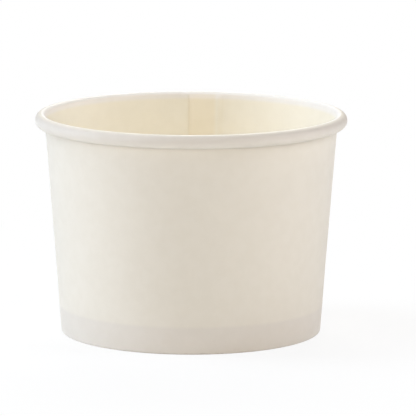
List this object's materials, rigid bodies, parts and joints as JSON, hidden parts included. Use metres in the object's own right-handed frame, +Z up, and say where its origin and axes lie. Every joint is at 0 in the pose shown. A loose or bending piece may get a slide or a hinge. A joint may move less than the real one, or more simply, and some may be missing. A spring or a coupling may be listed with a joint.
{
  "type": "paper ice cream cup",
  "caption": "Plain tapered paper cup for ice cream, with a rolled rim, a lap seam up the back and a raised floor held in a folded foot.",
  "frame": {"origin": "centre of the foot, on the surface that the cup stands on", "axes": "+Z up along the cup's axis, out of its mouth; the lap seam of the wall is on the +Y side, away from the picture's view"},
  "size_m": [0.075, 0.075, 0.053],
  "materials": {
    "wall_board": "satin",
    "floor_board": "satin"
  },
  "bodies": {
    "root": {"side_wall": "wall_board", "base_disc": "floor_board"}
  },
  "joints": []
}
